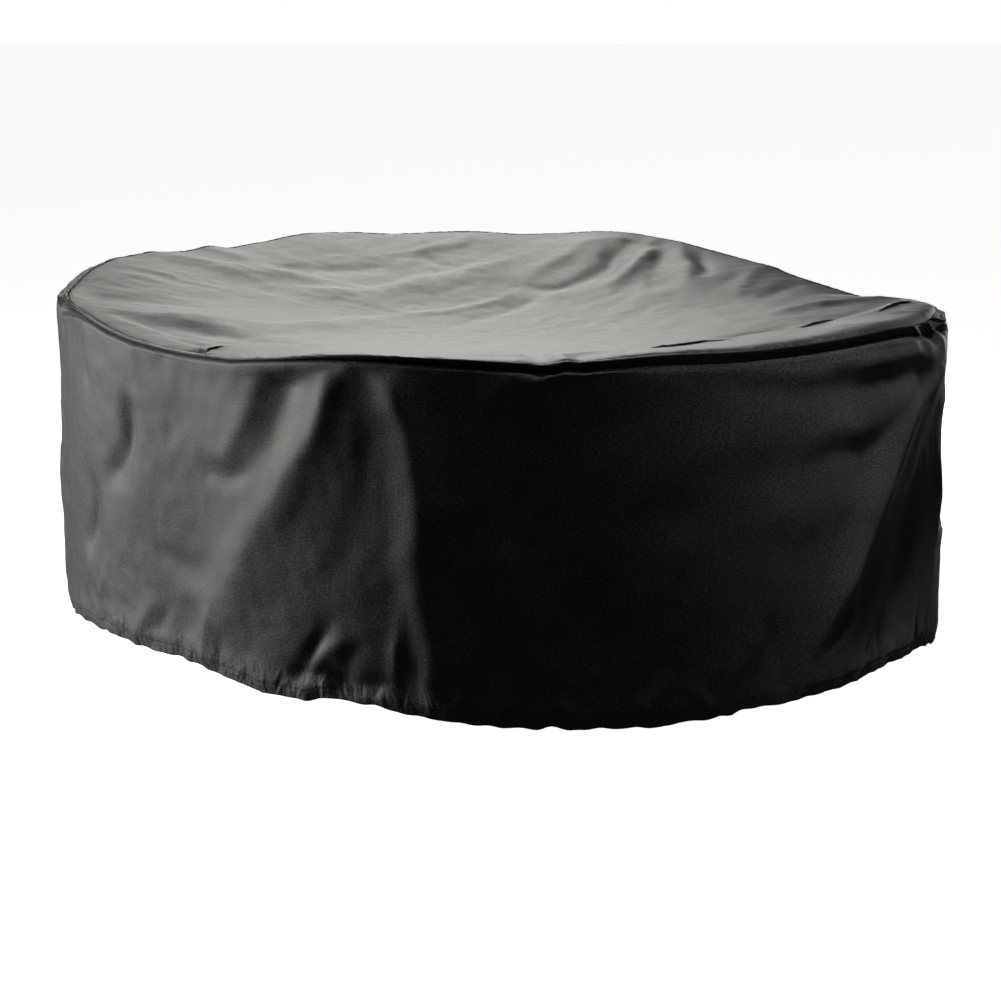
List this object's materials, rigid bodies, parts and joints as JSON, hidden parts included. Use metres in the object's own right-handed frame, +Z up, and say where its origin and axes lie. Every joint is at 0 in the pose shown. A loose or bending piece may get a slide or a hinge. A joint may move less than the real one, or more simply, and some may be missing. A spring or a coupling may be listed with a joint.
{
  "type": "patio furniture cover",
  "caption": "Round fitted cloth cover for a garden table with its chairs: a sagging round top, a deep skirt and a bound rim seam.",
  "frame": {"origin": "underside of the top panel at its lowest point, in the middle, where the furniture carries it", "axes": "+Z up, along the shortest extent; -Y is the side that faces the viewer"},
  "size_m": [2.3263, 2.2957, 0.9099],
  "materials": {
    "top_cloth": "matt woven polyester with a water-repellent coating, charcoal",
    "skirt_cloth": "matt woven polyester with a water-repellent coating, charcoal",
    "binding_cloth": "folded woven tape with rows of stitching, black"
  },
  "bodies": {
    "root": {"top_panel": "top_cloth", "skirt": "skirt_cloth", "rim_binding": "binding_cloth"}
  },
  "joints": []
}
